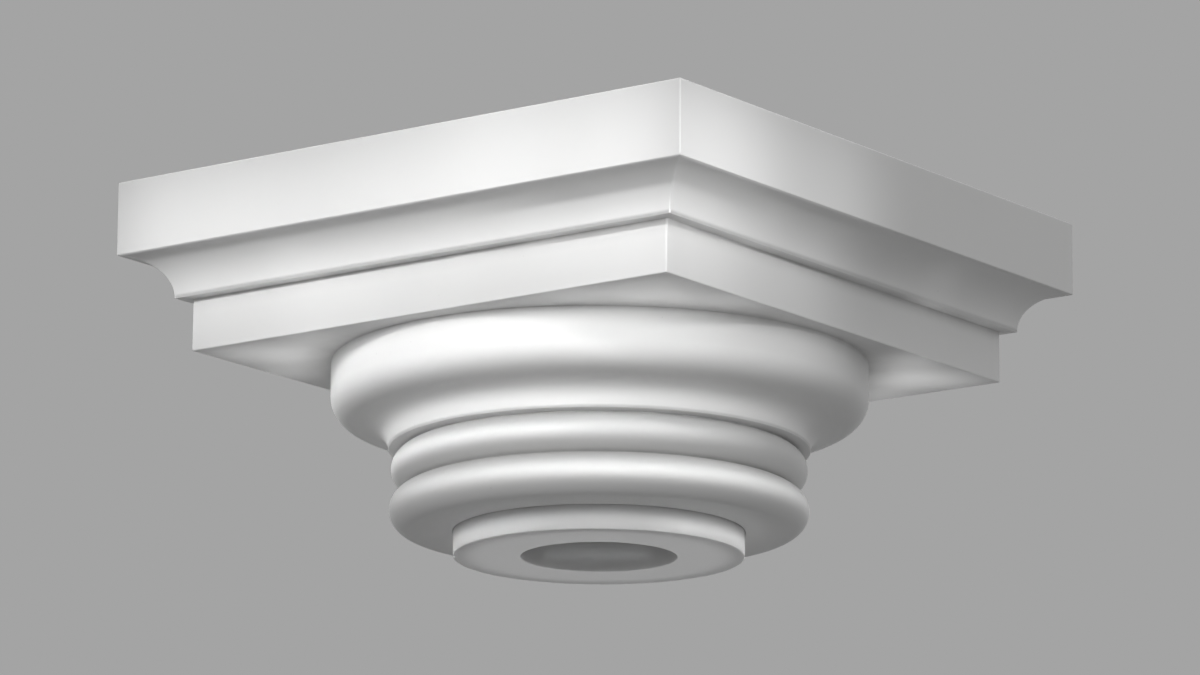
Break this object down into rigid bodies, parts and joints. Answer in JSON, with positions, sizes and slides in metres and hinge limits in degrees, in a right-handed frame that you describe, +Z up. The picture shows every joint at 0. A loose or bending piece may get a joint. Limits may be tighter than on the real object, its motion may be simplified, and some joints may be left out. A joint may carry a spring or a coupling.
{
  "type": "column capital",
  "caption": "Plain moulded column capital: a square abacus with a hollow moulding over a round echinus and beads, on a short locating ring, with a bore up through the middle.",
  "frame": {"origin": "centre of the locating ring's foot, at the bottom of the part", "axes": "+Z up the column's axis, from the ring to the top of the abacus; +X and +Y square to two sides of the abacus"},
  "size_m": [0.45, 0.45, 0.2375],
  "materials": {
    "white_casting": "fine white cast stone, smooth from the mould, very slight sheen",
    "grey_ring": "plain light grey, matt"
  },
  "bodies": {
    "root": {"capital": "white_casting", "locating_ring": "grey_ring"}
  },
  "joints": []
}
